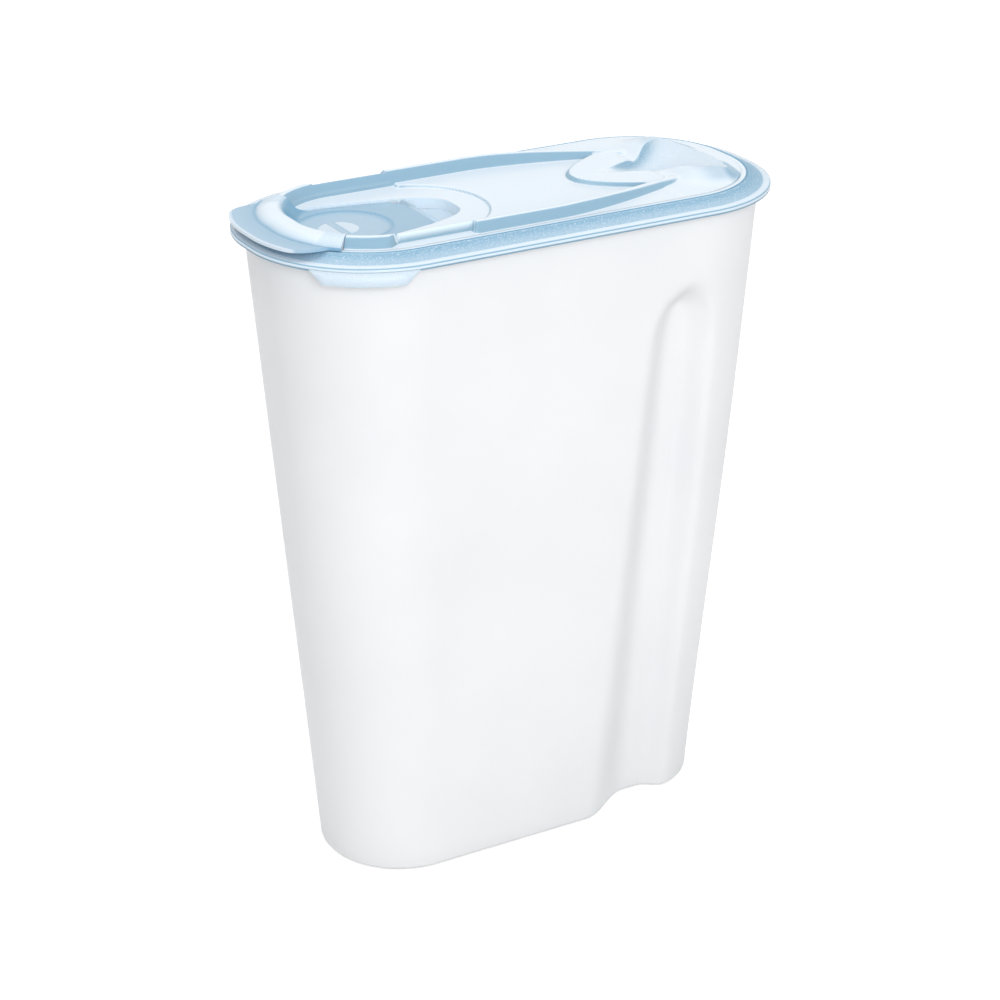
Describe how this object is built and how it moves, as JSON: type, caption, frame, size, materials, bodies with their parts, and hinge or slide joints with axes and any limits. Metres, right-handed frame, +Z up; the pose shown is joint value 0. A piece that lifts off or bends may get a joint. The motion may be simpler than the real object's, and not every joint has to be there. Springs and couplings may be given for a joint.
{
  "type": "cereal container with flip spout",
  "caption": "Tall oval food container with hand grips in its sides, a press-fit lid and a hinged pouring flap with a round plug.",
  "frame": {"origin": "middle of the flat base, at the height of the surface that it stands on", "axes": "+X towards the end with the hand grips, away from the spout; +Z up; the long sides face +Y and -Y"},
  "size_m": [0.2273, 0.1084, 0.2802],
  "materials": {
    "container_plastic": "translucent milky polypropylene, satin",
    "lid_plastic": "pale blue, lightly translucent, glossy with frosted grips"
  },
  "bodies": {
    "container": {"container": "container_plastic"},
    "lid": {"lid": "lid_plastic"},
    "flap": {"flap": "lid_plastic"}
  },
  "joints": [
    {"name": "lid_lift", "type": "slide", "parent": "container", "child": "lid", "axis": [0, 0, 1], "range_m": [0, 0.04]},
    {"name": "flap_hinge", "type": "hinge", "parent": "lid", "child": "flap", "pos_m": [-0.0387, 0, 0.2723], "axis": [0, 1, 0], "range_deg": [0, 120]}
  ]
}
